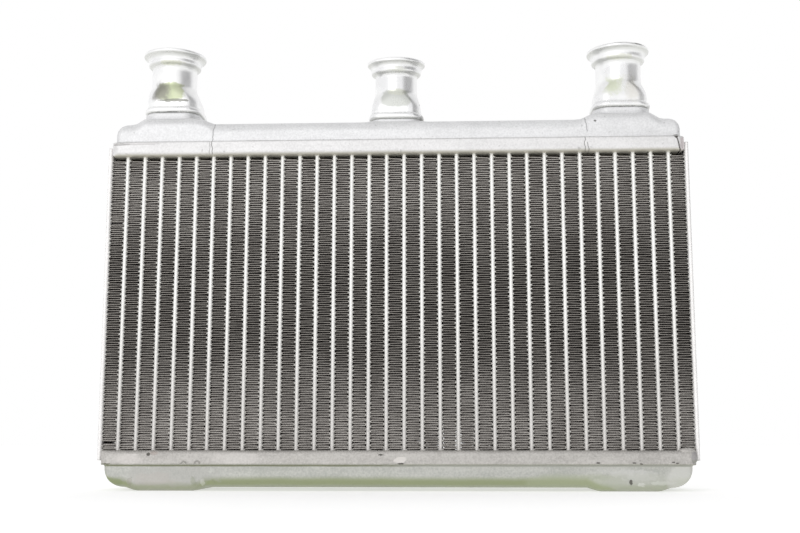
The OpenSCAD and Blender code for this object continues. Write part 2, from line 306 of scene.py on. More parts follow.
def foil_metal(name, light, dark, middle, roughness=0.55):
    """Thin fin foil, dulled by the furnace, with painted shade that is darkest at half height."""
    finish = Finish(name, 0.5, roughness)
    patches = finish.noise(6 * MM, 3.0, 0.5)
    grain = finish.noise(0.3 * MM, 2.0, 0.5)
    shade = finish.math("ADD", finish.math("MULTIPLY", grain, 0.5), finish.math("MULTIPLY", patches, 0.5))
    colour = finish.mix(finish.ramp(shade, 0.35, 0.65), dark, light)
    # Painted shade: the middle colour darkens the foil most at half height and fades out above and below.
    height = finish.axis(finish.place, "Z")
    upper = finish.ramp(height, 85 * MM, 130 * MM, 1.0, 0.0)
    lower = finish.ramp(height, 22 * MM, 60 * MM)
    tint = finish.mix(finish.math("MULTIPLY", upper, lower), WHITE, middle)
    colour_with_painted_shade = finish.node("ShaderNodeMix", {0: 1.0, 6: colour, 7: tint},
                         data_type="RGBA", blend_type="MULTIPLY")
    finish.colour(colour_with_painted_shade.outputs[2])
    finish.normal(finish.bump(grain, 0.03 * MM, 0.4))
    return finish.material


# Marks seen in the photograph: a method of Finish, its place in millimetres, colour, strength and relief
DARK = (74, 72, 66)
GREY = (150, 149, 142)
PALE = (232, 232, 228)
UPPER_TANK_MARKS = (
    ("crack", (-75.4, 141.3, 149.6, 0.08), (150, 150, 150), 0.8, -0.5),
    ("crack", (78.2, 144.2, 149.6, -0.15), (150, 150, 150), 0.8, -0.5),
    ("blot", ((81.4, -20, 148.3), (0.55, 2, 0.4)), (110, 108, 106), 0.9, -0.6),
    ("blot", ((113.6, -20.5, 141.6), (1.2, 1.5, 0.5)), (112, 108, 106), 0.9, -0.6),
)
UPPER_HEADER_MARKS = (
    ("crack", (-74.9, 136.0, 141.3, -0.1), (120, 118, 116), 0.8, -0.5),
    ("crack", (-76.2, 136.0, 141.3, 0.02), (176, 175, 172), 0.8, -0.3),
    ("crack", (76.8, 135.6, 141.3, 0.06, 1.5), (130, 128, 126), 0.8, -0.5),
    ("crack", (78.4, 135.6, 138.8, -0.12, 0.8), (130, 128, 126), 0.8, -0.5),
    ("crack", (115.3, 135.2, 141.4, -0.28, 0.5, 0.22), (88, 84, 80), 0.95, -0.9),
    ("blot", ((113.6, -22, 141.0), (0.8, 2, 0.6)), (84, 80, 76), 0.9, -0.6),
    # Painted shade: grey on the rim's rounded left end, then a soft painted shadow line where the tank meets
    # the header's top.
    ("blot", ((-113.6, -22, 140.3), (4.6, 2, 0.45), 0.5), (176, 174, 172), 0.8, -0.4),
    ("blot", ((-105.0, -22, 140.5), (8.0, 2, 0.5), 0.6), (206, 204, 203), 0.7, -0.3),
    ("blot", ((116.3, -21.5, 138.4), (1.3, 3, 3.0)), (216, 206, 206), 0.8, 0.3),
)
LOWER_HEADER_MARKS = (
    ("hook", (-83.4, 10.5, 0.9, 0.25), GREY, 0.9, -0.4),
    # Painted shadow under the curled rim at the header's left end.
    ("blot", ((-114.6, -22, 10.5), (1.9, 3, 0.3), 1.2), (112, 112, 92), 0.8, -0.6),
    ("hook", (-77.9, 10.5, 0.95, 0.42), (136, 134, 128), 0.65, -0.4),
    ("blot", ((-97.5, -22, 14.3), (0.8, 2, 0.6)), DARK, 0.9, -0.8),
    ("blot", ((-95.3, -22, 14.8), (1.6, 2, 0.8)), (176, 166, 160), 0.7, -0.3),
    ("blot", ((-5.5, -22, 14.1), (1.0, 2, 0.3)), DARK, 0.9, -0.6),
    ("blot", ((2.0, -22, 12.2), (2.8, 2, 1.3)), (222, 218, 214), 0.8, -0.3),
    # Painted light: two soft pale patches on the header's face.
    ("blot", ((-105.0, -22, 12.4), (5.0, 2, 2.2), 0.5), (218, 213, 210), 0.4, 0.0),
    ("blot", ((-62.0, -22, 12.8), (10.0, 2, 2.4), 0.5), (218, 214, 211), 0.35, 0.0),
    ("blot", ((2.4, -22, 10.7), (1.2, 2, 0.3)), DARK, 0.9, -0.5),
    ("hook", (64.8, 12.2, 1.2, 0.2), (168, 164, 160), 0.6, -0.2),
    ("blot", ((79.0, -22, 11.0), (0.8, 2, 0.3)), DARK, 0.8, -0.4),
    ("blot", ((92.9, -22, 11.0), (0.7, 2, 0.3)), DARK, 0.8, -0.4),
    ("blot", ((95.6, -22, 10.6), (0.7, 2, 0.3)), DARK, 0.8, -0.4),
    ("blot", ((107.9, -22, 11.3), (0.6, 2, 0.3)), DARK, 0.8, -0.4),
    ("blot", ((109.4, -22, 10.9), (0.6, 2, 0.3)), DARK, 0.8, -0.4),
    ("blot", ((116.2, -21.6, 13.0), (1.5, 3, 2.6), 0.5), (150, 147, 150), 0.6, -0.2),
)
LOWER_TANK_MARKS = (
    ("blot", ((-88, -20.6, 6.0), (20, 2, 4.0)), (180, 179, 175), 0.5, 0.0),
    ("blot", ((92.0, -20.6, 6.8), (10, 2, 1.6)), (206, 206, 203), 0.5, 0.0),
    # Painted reflection: these four change the strength and colour of the green tint under the tank along its
    # length.
    ("blot", ((70, -19, 3.2), (20, 6, 4), 0.4), (178, 184, 158), 0.45, 0.0),
    ("blot", ((96, -19, 3.5), (15, 6, 4), 0.4), (186, 188, 178), 0.65, 0.0),
    ("blot", ((-113, -18, 3.6), (5, 7, 2.2), 0.5), (136, 146, 108), 0.45, 0.0),
    ("blot", ((-91.5, -19, 1.6), (15, 4, 2.4), 0.4), (176, 177, 164), 0.55, 0.0),
    ("blot", ((-105.0, -19, 3.8), (1.0, 4, 2.0), 1.0), (150, 148, 134), 0.4, -0.3),
    ("blot", ((-79.5, -19.8, 3.6), (1.6, 3, 1.7), 1.2), (142, 148, 120), 0.4, -0.2),
    ("blot", ((-96, -20.6, 4.6), (9, 3, 2.6), 0.7), (188, 183, 178), 0.5, 0.0),
    ("blot", ((87, -20.6, 7.6), (8, 3, 1.6), 1.2), (210, 210, 206), 0.3, 0.0),
    ("blot", ((95, -20.6, 5.4), (7, 3, 1.4), 1.2), (210, 210, 206), 0.3, 0.0),
    ("blot", ((104, -19.6, 3.2), (5, 4, 0.8), 0.9), (212, 214, 206), 0.5, 0.2),
    # Painted highlight at the tank's right end, where the green tint gives way.
    ("blot", ((113, -19, 5), (8, 8, 6), 0.4), (210, 210, 205), 0.75, 0.0),
    ("blot", ((91.4, -20, 3.4), (0.7, 2, 1.0), 1.5), (92, 90, 84), 0.9, -0.5),
    ("blot", ((95.4, -20, 2.5), (1.6, 2, 0.8), 1.4), PALE, 0.4, 0.1),
    ("blot", ((-76.0, -20, 3.2), (1.0, 2, 1.8)), PALE, 0.35, 0.1),
)
STUB_MARKS = (
    ("blot", ((-94.0, -19.4, 155.0), (12.0, 1.8, 0.42), 0.6), (140, 140, 138), 0.75, -0.3),
    ("blot", ((93.2, -19.4, 155.0), (12.0, 1.8, 0.36), 0.6), (150, 150, 148), 0.6, -0.3),
    ("facet", (-94.4, 164.4, 5.8, 4.1, 0.25, 0.15), (190, 199, 158), 0.85, 0.0),
    ("facet", (-98.4, 164.2, 3.4, 3.8, 0.5, 0.5), (140, 138, 132), 0.85, 0.0),
    ("facet", (-90.6, 164.8, 2.0, 3.0, 0.6, 0.6), (212, 215, 190), 0.4, 0.0),
    ("blot", ((-92.2, -17.8, 160.4), (6.8, 2, 0.75), 0.5), (132, 132, 124), 0.8, -0.2),
    ("facet", (0.2, 160.4, 6.3, 3.9, 0.12, 0.12), (211, 213, 208), 0.9, 0.0),
    ("blot", ((0.5, -17, 163.2), (5.0, 3, 1.6), 0.6), (222, 224, 210), 0.6, 0.0),
    ("blot", ((0.5, -16, 172.8), (4.0, 4, 1.2), 0.6), (214, 216, 204), 0.5, 0.0),
    ("blot", ((-94.6, -17, 176.9), (5.5, 4, 1.0), 0.9), (206, 208, 184), 0.5, 0.0),
    ("blot", ((92.0, -17, 176.6), (5.5, 4, 1.2), 0.9), (212, 214, 194), 0.45, 0.0),
    ("facet", (89.6, 164.6, 3.6, 3.4, 0.7, 0.7), (204, 213, 172), 0.6, 0.0),
    ("facet", (97.5, 163.0, 2.5, 4.5, 0.8, 0.8), (220, 216, 204), 0.5, 0.0),
    ("blot", ((10.4, -12.5, 158.2), (0.9, 2, 0.5), 0.3), (96, 96, 92), 0.9, -0.5),
    ("blot", ((11.6, -13.0, 151.8), (2.4, 4, 1.2), 0.8), (128, 128, 124), 0.6, -0.2),
    ("blot", ((104.0, -13.0, 155.0), (2.2, 4, 1.6), 0.8), (160, 160, 158), 0.5, -0.1),
    ("blot", ((93.0, -19.5, 181.8), (3.0, 2, 0.3), 0.9), (120, 120, 116), 0.7, -0.2),
    ("blot", ((100.5, -18.0, 181.6), (2.6, 3, 0.3), 0.9), (120, 120, 116), 0.7, -0.2),
)
# Lightens the lower seam's dark colour, braze and painted shadow, over its right part.
LOWER_SEAM_MARKS = (("blot", ((70, -20, 10), (78, 6, 3), 0.2), (186, 187, 180), 0.85, 0.0),)

# Finishes
# Painted shade for the lower part of the tubes and braze beads.
PAINTED_FOOT_SHADE = rgb(214, 211, 208)
# The third colour of each metal skin is the painted reflection and shade on its downward faces.
UPPER_TANK = sandy_metal("upper_tank_skin", rgb(238, 238, 239), rgb(218, 218, 219), rgb(206, 206, 192),
                         marks=UPPER_TANK_MARKS)
# The lower tank and lower header get darker colours than the upper ones: painted shade, as the light falls
# from above.
LOWER_TANK = sandy_metal("lower_tank_skin", rgb(201, 201, 196), rgb(174, 175, 171), rgb(152, 160, 122),
                         marks=LOWER_TANK_MARKS, band=(0.04, -0.5, 0.5))
UPPER_HEADER = sandy_metal("upper_header_skin", rgb(235, 234, 234), rgb(216, 215, 215), rgb(196, 193, 178),
                           marks=UPPER_HEADER_MARKS, band=(-0.25, -0.95, 1.0))
LOWER_HEADER = sandy_metal("lower_header_skin", rgb(200, 197, 193), rgb(171, 168, 164), rgb(150, 156, 130),
                           marks=LOWER_HEADER_MARKS)
SIDE_PLATE = sandy_metal("side_plate_skin", rgb(252, 250, 249), rgb(236, 234, 233), rgb(190, 190, 182))
STUB = drawn_metal("stub_skin", rgb(255, 255, 255), rgb(243, 243, 244), rgb(206, 207, 202), STUB_MARKS)
UPPER_SEAM = sandy_metal("upper_seam_braze", rgb(226, 226, 226), rgb(200, 200, 198), rgb(190, 190, 180))
# Its dark olive colour is partly the braze fillet and partly painted shadow under the rim's overhang.
LOWER_SEAM = sandy_metal("lower_seam_braze_and_painted_shadow", rgb(178, 178, 160), rgb(150, 152, 132), rgb(140, 144, 120),
                         marks=LOWER_SEAM_MARKS)
BAFFLE = sandy_metal("baffle_skin", rgb(214, 214, 214), rgb(190, 190, 190), rgb(180, 180, 176))
TUBE = sandy_metal("tube_skin", rgb(255, 254, 252), rgb(244, 243, 240), rgb(222, 220, 214), 0.45,
                   foot=PAINTED_FOOT_SHADE)
# The foil's faces are far darker than its cut edges: partly its dull furnace grey, partly painted shade
# inside the rows between the folds.
FIN = foil_metal("fin_foil", rgb(156, 151, 148), rgb(126, 121, 118), (0.275, 0.265, 0.26, 1.0))
FIN_EDGE = foil_metal("fin_cut_edge", rgb(226, 222, 214), rgb(180, 175, 168), (0.68, 0.67, 0.66, 1.0), 0.45)
BRAZE = sandy_metal("braze_metal", rgb(252, 251, 249), rgb(236, 235, 231), rgb(200, 200, 192), 0.4,
                    foot=PAINTED_FOOT_SHADE)

NODE_MATERIALS = {"top_tank": UPPER_TANK, "bottom_tank": LOWER_TANK, "top_header": UPPER_HEADER,
                  "bottom_header": LOWER_HEADER, "left_side_plate": SIDE_PLATE,
                  "right_side_plate": SIDE_PLATE, "top_left_baffle": BAFFLE,
                  "top_right_baffle": BAFFLE, "bottom_baffle": BAFFLE}
NODE_MATERIALS.update({name: STUB for name in STUBS})
NODE_MATERIALS.update({name: TUBE for name in TUBES})


def add_object(name, data):
    made = bpy.data.objects.new(name, data)
    bpy.context.scene.collection.objects.link(made)
    return made


def quad_mesh(name, points, quads, materials, chosen=None, smooth=False):
    """A mesh object from arrays of points and of four-cornered faces."""
    mesh = bpy.data.meshes.new(name)
    mesh.vertices.add(len(points))
    mesh.vertices.foreach_set("co", np.asarray(points, np.float32).ravel())
    mesh.loops.add(quads.size)
    mesh.loops.foreach_set("vertex_index", np.asarray(quads, np.int32).ravel())
    mesh.polygons.add(len(quads))
    mesh.polygons.foreach_set("loop_start", np.arange(0, quads.size, 4, dtype=np.int32))
    for material in materials:
        mesh.materials.append(material)
    if chosen is not None:
        mesh.polygons.foreach_set("material_index", np.asarray(chosen, np.int32))
    mesh.polygons.foreach_set("use_smooth", np.full(len(quads), smooth))
    mesh.update(calc_edges=True)
    mesh.validate()
    return add_object(name, mesh)


def grid_quads(rows, columns, wrap=False):
    """Faces between the points of a grid, numbered row by row."""
    last = columns if wrap else columns - 1
    row = np.arange(rows - 1)[:, None] * columns
    a = row + np.arange(last)[None, :]
    b = row + (np.arange(last)[None, :] + 1) % columns
    return np.stack([a, b, b + columns, a + columns], -1).reshape(-1, 4)


# Fin strips

def strip_walls():
    """The faces that each fin strip lies between, from the left side plate to the right one."""
    lefts = [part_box("left_side_plate")[1].x] + [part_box(name)[1].x for name in TUBES]
    rights = [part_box(name)[0].x for name in TUBES] + [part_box("right_side_plate")[0].x]
    return list(zip(lefts, rights))


def fold_heights(low, high, strip):
    """Heights of the folds of a strip and how tall each stands, with the unevenness of rolled foil."""
    count = 2 * round((high - low) / FOLD_PITCH)
    even = np.linspace(low + FOLD_FLAT / 2, high - FOLD_FLAT / 2, count + 1)
    drift = np.cumsum(RANDOM.normal(0, FOLD_DRIFT, count + 1))
    drift -= np.linspace(0, drift[-1], count + 1)
    shifted = even + drift + RANDOM.normal(0, FOLD_ERROR, count + 1)
    flats = np.full(count + 1, FOLD_FLAT)
    for height, opening, reach in PULLED_FOLDS.get(strip, ()):
        pulled = np.argmin(np.abs(shifted - height))
        away = shifted - shifted[pulled]
        shifted = shifted + np.sign(away) * opening / 2 * np.exp(-np.abs(away) / reach)
        flats[pulled] += opening
    return np.clip(shifted, even[0], even[-1]), flats


def fold_line(left, right, folds, flats):
    """The foil's centre line over all legs of a strip, and each point's share of the louvres' lift."""
    legs = len(folds) - 1
    start = folds[:-1] + flats[:-1] / 2
    end = folds[1:] - flats[1:] / 2
    bow = RANDOM.normal(0, LEG_BOW, legs)
    height = start[:, None] + (end - start)[:, None] * LEG_SHARES + bow[:, None] * LEG_LIFTS
    across = np.where(np.arange(legs)[:, None] % 2 == 0, LEG_SHARES, 1 - LEG_SHARES)
    inner_left, inner_right = left + FOIL / 2, right - FOIL / 2
    line = np.stack([inner_left + across * (inner_right - inner_left), height], -1).reshape(-1, 2)
    return line, np.tile(LEG_LIFTS, legs)


def foil_sides(line):
    """Steps from a line's points to the foil's surface, square to the line."""
    step = np.diff(line, axis=0)
    step /= np.linalg.norm(step, axis=1)[:, None]
    way = np.vstack([step[:1], step[:-1] + step[1:], step[-1:]])
    way /= np.linalg.norm(way, axis=1)[:, None]
    side = np.stack([-way[:, 1], way[:, 0]], -1)
    cosine = np.ones(len(line))
    cosine[1:-1] = np.clip((step[:-1] * way[1:-1]).sum(1), 0.5, 1)
    return side / cosine[:, None] * FOIL / 2


def louvre_rows(front, back):
    """Places from front to back where the louvres bend the foil, with their lift there."""
    places = np.concatenate([front + LOUVRE_DEPTHS, [(front + back) / 2], back - LOUVRE_DEPTHS[::-1]])
    lifts = np.concatenate([LOUVRE_TURNS, [-LOUVRE_LIFT], LOUVRE_TURNS[::-1]])
    return zip(places, lifts)


def fin_strip(left, right, front, back, low, high, strip):
    """Points, faces and face materials of one folded, louvred strip of foil, and its folds' heights."""
    folds, flats = fold_heights(low, high, strip)
    line, lift = fold_line(left, right, folds, flats)
    side = foil_sides(line)
    loop = np.concatenate([line + side, (line - side)[::-1]])
    loop_lift = np.concatenate([lift, lift[::-1]])
    rows = [np.stack([loop[:, 0], np.full(len(loop), y), loop[:, 1] + rise * loop_lift], -1)
            for y, rise in louvre_rows(front, back)]
    skin = grid_quads(len(rows), len(loop), wrap=True)[:, ::-1]
    near = np.arange(len(line) - 1)
    far = len(loop) - 1 - near
    rim = np.stack([near, near + 1, far - 1, far], -1)
    faces = np.concatenate([skin, rim, rim[:, ::-1] + len(loop) * (len(rows) - 1)])
    chosen = np.concatenate([np.zeros(len(skin)), np.ones(2 * len(rim))])
    return np.concatenate(rows), faces, chosen, folds


def make_fins():
    """All strips in the sets that the CAD nodes hold; returns where their folds touch, and a set's box."""
    low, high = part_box(FIN_SETS[0])
    walls = strip_walls()
    per_set = math.ceil(len(walls) / len(FIN_SETS))
    contacts = []
    for index, node in enumerate(FIN_SETS):
        points, faces, chosen, offset = [], [], [], 0
        for strip in range(index * per_set, min((index + 1) * per_set, len(walls))):
            left, right = walls[strip]
            made = fin_strip(left, right, low.y, high.y, low.z - STRIP_DROP, high.z, strip + 1)
            points.append(made[0])
            faces.append(made[1] + offset)
            chosen.append(made[2])
            offset += len(made[0])
            contacts += [(right, -1, z) if fold % 2 else (left, 1, z) for fold, z in enumerate(made[3])]
        strips = quad_mesh(f"louvred_{node}", np.concatenate(points), np.concatenate(faces),
                           (FIN, FIN_EDGE), np.concatenate(chosen))
        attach(strips, "root")
        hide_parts(node)
    return contacts, low, high


def make_braze_beads(contacts, front, back):
    """Small beads of braze where each fold meets its tube, at the front and the back edge."""
    shape = np.array([(1, 0, 0), (0, 1, 0), (-1, 0, 0), (0, -1, 0), (0, 0, 1), (0, 0, -1)], float)
    sides = np.array([(k, (k + 1) % 4, 4) for k in range(4)] + [((k + 1) % 4, k, 5) for k in range(4)])
    for name, y in (("front_braze_beads", front), ("back_braze_beads", back)):
        points, corners = [], []
        for k, (x, side, z) in enumerate(contacts):
            size = BRAZE_BEAD * RANDOM.uniform(0.75, 1.25)
            middle = np.array([x + side * BEAD_INSET, y, z + RANDOM.normal(0, BEAD_SCATTER)])
            points.append(shape * size + middle)
            corners.append(sides + len(shape) * k)
        mesh = bpy.data.meshes.new(name)
        mesh.from_pydata(np.concatenate(points).tolist(), [], np.concatenate(corners).tolist())
        mesh.materials.append(BRAZE)
        mesh.polygons.foreach_set("use_smooth", np.ones(len(mesh.polygons), bool))
        mesh.update()
        beads = add_object(name, mesh)
        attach(beads, "root")


# Tanks: each is a drawn sheet whose pads, collar slopes and shoulders run softly into each other. The
# collars' upright walls are pieces of their own. Millimetres from the face of the core that a tank closes.

# Where a skin's wall ends, its crest, and its radii at the ends, along the sides and at the plan's corners
TANK_LOW = 1.4
TANK_RISE = 14.5
TANK_END_R = 5.4
LOWER_END_R = 7.6
TANK_EDGE_R = 4.8
TANK_CORNER_R = 1.95
# The two raised pads: middle, rise, edge radius, half length of their top and reach of their slope
BOSS_X = 91.5
BOSS_RISE = 1.35
BOSS_EDGE_R = 3.4
BOSS_FLAT = 10.6
BOSS_REACH = 16.4
BOSS_ROUND = 0.75
# Top of the header's rim, and the fillet of braze on it: steps outward and up, and how much the fillet swells
RIM = 5.7
SEAM_PROFILE = ((0.0, 0.60), (0.18, 0.18), (0.75, 0.02))
SEAM_SWELL = 0.06
# Points on a skin's shoulder, how far apart its grid lines are, and where they are close
SHOULDER_POINTS = 13
FINE_STEP = 0.45
COARSE_STEP = 2.5
NEAR_COLLAR = 18
PAD_SLOPE = (10, 18)
FINE_TO_Y = 10

# Stubs and the drawn collars that carry them: side and front distance, rise and reach of the slope
STUB_Y = -7.0
LEFT_STUB_X = -94.0
RIGHT_STUB_X = 93.2
MIDDLE_STUB_X = 0.0
OUTER_BORE = 9.7
MIDDLE_BORE = 9.1
OUTER_COLLAR = (11.7, 11.2, BOSS_RISE + 3.5, 6.0)
MIDDLE_COLLAR = (11.1, 10.6, 1.2, 3.6)
COLLAR_CORNER = 4
# The share of a collar's rise that is a gentle slope, less at its front, the rest being its upright wall
COLLAR_SKIRT = 0.44
LESS_IN_FRONT = 0.2
# A collar's wall as steps outward and down from its top, millimetres
COLLAR_WALL = ((-0.5, 0.0), (-0.25, 0.03), (-0.08, 0.12), (0.0, 0.35), (0.0, 1.0), (0.04, 2.2),
               (0.16, 2.7), (0.35, 3.2), (0.6, 3.7), (0.9, 4.1), (1.2, 4.4))


def ease(value, start, end):
    share = np.clip((value - start) / (end - start), 0, 1)
    return share * share * (3 - 2 * share)


def shoulder(across, half, radius):
    """How far a profile has dropped from its top, where its shoulders are round."""
    inside = np.clip(np.abs(across) - (half - radius), 0, radius)
    return radius - np.sqrt(radius ** 2 - inside ** 2)


def collar_share(x, y, middle, collar):
    """How much of a collar's rise its slope lends a point: full inside its outline, none past its reach."""
    side, front, rise, reach = collar
    across = np.abs(x - middle) - (side - COLLAR_CORNER)
    deep = np.abs(y - STUB_Y) - (front - COLLAR_CORNER)
    outside = np.hypot(np.maximum(across, 0), np.maximum(deep, 0))
    away = outside + np.minimum(np.maximum(across, deep), 0) - COLLAR_CORNER
    facing = (STUB_Y - y) / (np.hypot(x - middle, y - STUB_Y) + 1)
    skirt = COLLAR_SKIRT - LESS_IN_FRONT * ease(facing, 0.5, 0.9)
    return skirt * np.clip(1 - away / reach, 0, 1) ** 2


def tank_height(x, y, half_x, half_y, end_radius, collars):
    """Height of a tank's skin over the face it closes: round shoulders, two pads and the collars' slopes."""
    inward = np.clip((BOSS_REACH - np.abs(np.abs(x) - BOSS_X)) / (BOSS_REACH - BOSS_FLAT), 0, 1)
    boss = BOSS_ROUND * np.sin(inward * math.pi / 2) + (1 - BOSS_ROUND) * ease(inward, 0, 1)
    plain = shoulder(y, half_y, TANK_EDGE_R)
    raised = shoulder(y, half_y, BOSS_EDGE_R)
    side_drop = plain * (1 - boss) + raised * boss
    end_drop = shoulder(x, half_x, end_radius)
    height = TANK_RISE + BOSS_RISE * boss - (side_drop ** 3 + end_drop ** 3) ** (1 / 3)
    for middle, collar in collars:
        share = collar_share(x, y, middle, collar)
        height = height * (1 - share) + (TANK_RISE + collar[2]) * share
    return height


def stations(half, radius, finely):
    """Positions across a tank: close on its shoulders and where finely holds, wide apart elsewhere."""
    turn = np.sin(np.linspace(0, math.pi / 2, SHOULDER_POINTS)) * radius + half - radius
    flat = [radius - half]
    while flat[-1] < half - radius:
        flat.append(flat[-1] + (FINE_STEP if finely(flat[-1]) else COARSE_STEP))
    flat = np.array(flat[:-1])
    return np.concatenate([-turn[::-1], flat[1:], turn])


def round_corners(x, y, half_x, half_y):
    """Grid points drawn in where the plan's corners are round."""
    over_x = np.abs(x) - (half_x - TANK_CORNER_R)
    over_y = np.abs(y) - (half_y - TANK_CORNER_R)
    corner = (over_x > 0) & (over_y > 0)
    length = np.where(corner, np.hypot(over_x, over_y), 1)
    shrink = np.where(corner, np.maximum(over_x, over_y) / length, 1)
    new_x = np.where(corner, np.sign(x) * (half_x - TANK_CORNER_R + over_x * shrink), x)
    new_y = np.where(corner, np.sign(y) * (half_y - TANK_CORNER_R + over_y * shrink), y)
    return new_x, new_y


def border(rows, columns):
    """Indices round the edge of a grid, as one loop."""
    grid = np.arange(rows * columns).reshape(rows, columns)
    return np.concatenate([grid[:-1, 0], grid[-1, :-1], grid[:0:-1, -1], grid[0, :0:-1]])


def tank_grid(half_x, half_y, end_radius, collars):
    """Grid lines of a tank's skin, closest where its pads and collars rise."""
    def along(x):
        beside_pad = PAD_SLOPE[0] < abs(abs(x) - BOSS_X) < PAD_SLOPE[1]
        return beside_pad or any(abs(x - middle) < NEAR_COLLAR for middle, collar in collars)

    def across(y):
        return bool(collars) and y < FINE_TO_Y

    return stations(half_x, end_radius, along), stations(half_y, TANK_EDGE_R, across)


def make_tank(name, face, up, collars, bores, material):
    """One tank's outer skin; returns the loop of points where it stands in the header's rim."""
    low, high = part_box(name)
    half_x, half_y = high.x / MM, high.y / MM
    end_radius = TANK_END_R if up > 0 else LOWER_END_R
    columns, lines = tank_grid(half_x, half_y, end_radius, collars)
    x, y = np.meshgrid(columns, lines, indexing="ij")
    height = tank_height(x, y, half_x, half_y, end_radius, collars)
    x, y = round_corners(x, y, half_x, half_y)
    points = np.stack([x.ravel(), y.ravel(), height.ravel()], -1)
    faces = grid_quads(len(columns), len(lines))
    middles = points[faces].mean(1)
    keep = np.ones(len(faces), bool)
    for middle, radius in bores:
        keep &= np.hypot(middles[:, 0] - middle, middles[:, 1] - STUB_Y) > radius
    loop = border(len(columns), len(lines))
    foot = points[loop]
    foot[:, 2] = TANK_LOW
    after = np.roll(np.arange(len(loop)), -1)
    wall = np.stack([loop, loop[after], len(points) + after, len(points) + np.arange(len(loop))], -1)
    place_piece(f"drawn_{name}", np.concatenate([points, foot]), np.concatenate([faces[keep], wall]),
                face, up, material, name)
    return foot[:, :2]


def place_piece(name, points, faces, face, up, material, node=None):
    """A piece from millimetres over a face of the core, turned over where up is -1."""
    placed = points * (1, 1, up) * MM + (0, 0, face)
    piece = quad_mesh(name, placed, faces if up < 0 else faces[:, ::-1], (material,), smooth=True)
    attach(piece, "root")
    if node:
        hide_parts(node)


def make_seam(name, loop, face, up, material):
    """The braze fillet between a tank's wall and the edge of the header's rim."""
    step = np.roll(loop, -1, 0) - np.roll(loop, 1, 0)
    out = np.stack([-step[:, 1], step[:, 0]], -1) / np.linalg.norm(step, axis=1)[:, None]
    out *= np.sign((out * loop).sum(1))[:, None]
    swell = 1 + SEAM_SWELL * np.sin(np.arange(len(loop)) * 0.7)
    rows = [np.column_stack([loop + out * reach, RIM + level * swell]) for reach, level in SEAM_PROFILE]
    faces = grid_quads(len(rows), len(loop), wrap=True)
    place_piece(name, np.concatenate(rows), faces, face, up, material)


# Stubs, millimetres: middle, neck radius, lip radius, length over the seat and reach below it
STUB_SIZES = {"left_stub": (LEFT_STUB_X, 9.4, 13.2, 28.0, 6.1),
              "middle_stub": (MIDDLE_STUB_X, 8.8, 12.2, 27.1, 3.8),
              "right_stub": (RIGHT_STUB_X, 9.4, 13.0, 28.0, 6.1)}
STUB_COLLARS = {"left_stub": OUTER_COLLAR, "middle_stub": MIDDLE_COLLAR, "right_stub": OUTER_COLLAR}
# How each stub's neck and lip sit off true: to the right, up, and rise per length rightward and backward
STUB_LEAN = {"left_stub": (-1.1, -0.3, -0.02, 0.0), "middle_stub": (-0.2, -0.1, 0.0, 0.07),
             "right_stub": (0.0, -0.85, 0.02, 0.0)}
# The foot is a square with round corners: how far its corners, sides and front stand out from the neck
FOOT = (3.1, 1.6, 0.9)
# Hem bead under the foot, the groove over it, and where the foot ends and its flare has run out
BEAD_R = 1.5
BEAD_OUT = 1.1
GROOVE = ((3.0, 0.12), (3.12, 0.02), (3.3, 0.0), (4.2, 0.0))
FOOT_TOP = 5.0
FLARE_TOP = 13.0
FLARE_STAND = 0.25
NECK_ROWS = (13.6, 15.0, 17.0, 19.0)
# Swaged ring under the mouth: how far below the lip's top, and its radius; then the rolled lip's radius
RING_DROP = 4.5
RING_R = 1.5
LIP_R = 0.9
STUB_WALL = 1.5
# What is added to side and front where a row is a plain circle, so that only its corner radius counts
FREE = 6.0
TURN = np.linspace(0, 2 * math.pi, 96, endpoint=False)
PLAN_POWER = 28


def ring(radius, z):
    return z, radius, radius + FREE, radius + FREE


def foot_rows(neck):
    """Rows of a stub's square foot, from the seat up to its round neck."""
    rows = []
    for turn in np.radians(np.linspace(-90, 90, 11)):
        out = BEAD_OUT - BEAD_R * (1 - math.cos(turn))
        rows.append((BEAD_R + BEAD_R * math.sin(turn), *(neck + part + out for part in FOOT)))
    rows += [(z, *(neck + part + out for part in FOOT)) for z, out in GROOVE]
    for share in np.linspace(0, 1, 15):
        free = FREE * max(share - 0.82, 0) ** 1.5
        side, front = (part - (part - FLARE_STAND) * share for part in FOOT[1:])
        rows.append((FOOT_TOP + (FLARE_TOP - FOOT_TOP) * share, neck + FOOT[0] * (1 - share ** 1.9) ** 1.25,
                     neck + side + free, neck + front + free))
    return rows


def mouth_rows(neck, lip, length, reach):
    """Rows of a stub's neck, ring and rolled lip, and of the bore down to its inner foot."""
    ring_z = length - RING_DROP
    rows = [ring(neck, z) for z in (*NECK_ROWS, ring_z - 1.75)]
    for turn in np.radians(np.linspace(-75, 0, 8)):
        rows.append(ring(neck + 0.2 + RING_R * math.cos(turn), ring_z + RING_R * math.sin(turn)))
    rows += [ring(neck + 1.66, ring_z + 0.5), ring(neck + 1.6, ring_z + 0.9), ring(lip - 1.0, length - 2.0)]
    for turn in np.radians(np.linspace(-70, 90, 11)):
        rows.append(ring(lip - LIP_R + LIP_R * math.cos(turn), length - LIP_R + LIP_R * math.sin(turn)))
    bore = neck - STUB_WALL
    rows += [ring(lip - 1.6, length), ring(lip - 2.0, length - 0.15), ring(bore + 0.4, length - 2.2)]
    rows += [ring(bore, length - 2.8), ring(bore, length / 2), ring(bore, -reach)]
    return rows


def stub_rows(neck, lip, length, reach):
    """Height, corner radius, side and front distance of each row of a stub, round its whole section."""
    seat = [ring(neck - STUB_WALL, -reach), ring(neck, -reach), ring(neck, 0.0)]
    return seat + foot_rows(neck) + mouth_rows(neck, lip, length, reach)


